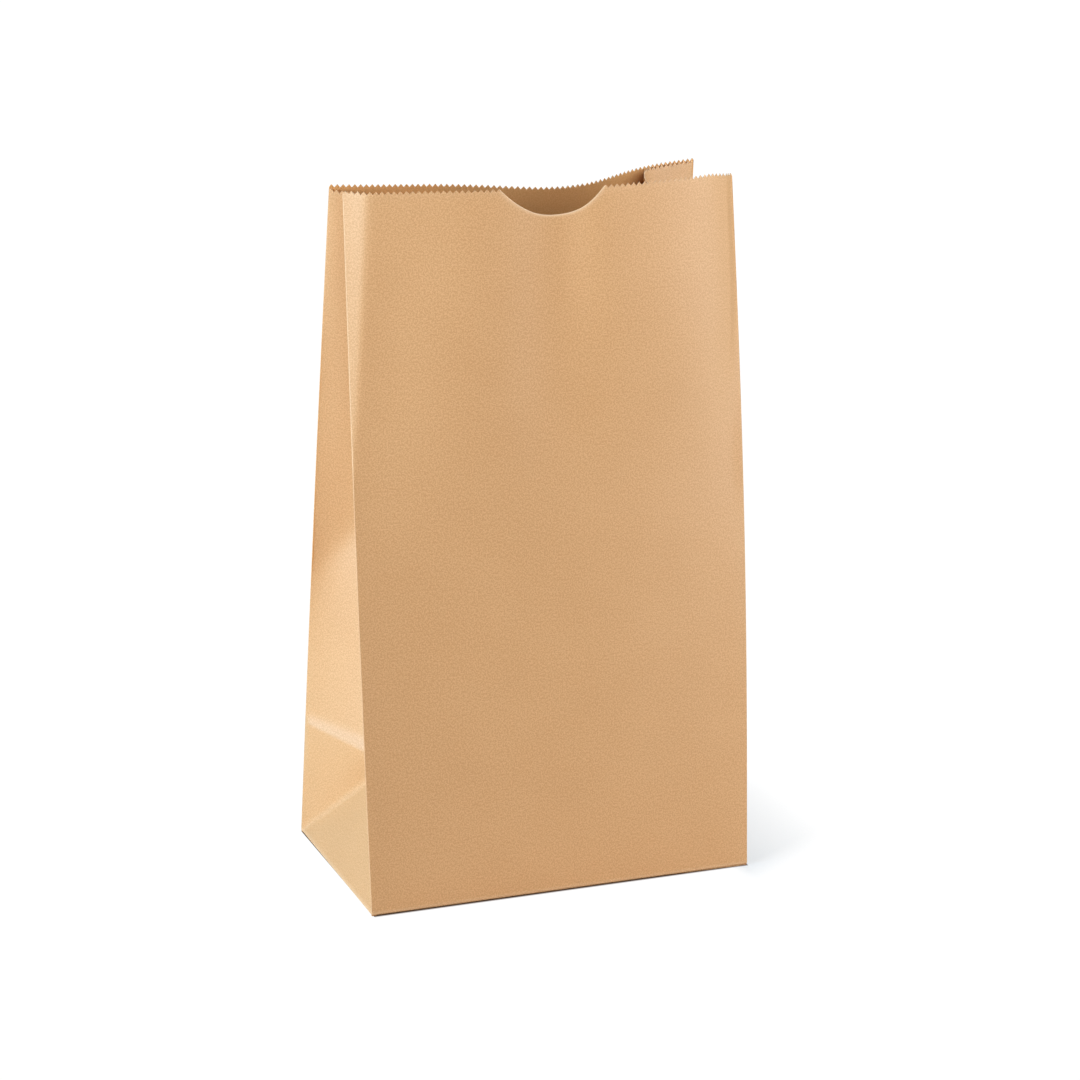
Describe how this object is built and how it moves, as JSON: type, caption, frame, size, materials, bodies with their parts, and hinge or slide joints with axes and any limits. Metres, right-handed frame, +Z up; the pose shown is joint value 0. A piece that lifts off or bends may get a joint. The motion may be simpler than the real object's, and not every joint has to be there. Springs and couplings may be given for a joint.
{
  "type": "paper lunch bag",
  "caption": "Open-topped brown kraft paper bag with a flat block bottom, side gussets folded inwards, a zigzag-cut top edge and a rounded thumb notch, for carrying a packed lunch.",
  "frame": {"origin": "centre of the rectangular base, on the surface the bag stands on", "axes": "+Z up towards the open mouth, -Y out of the front panel with the thumb notch, +X to the right seen from the front"},
  "size_m": [0.1547, 0.0946, 0.2656],
  "materials": {
    "kraft_paper": "matt uncoated brown kraft paper with fine fibres and a few dark specks"
  },
  "bodies": {
    "root": {"paper_bag": "kraft_paper"}
  },
  "joints": []
}
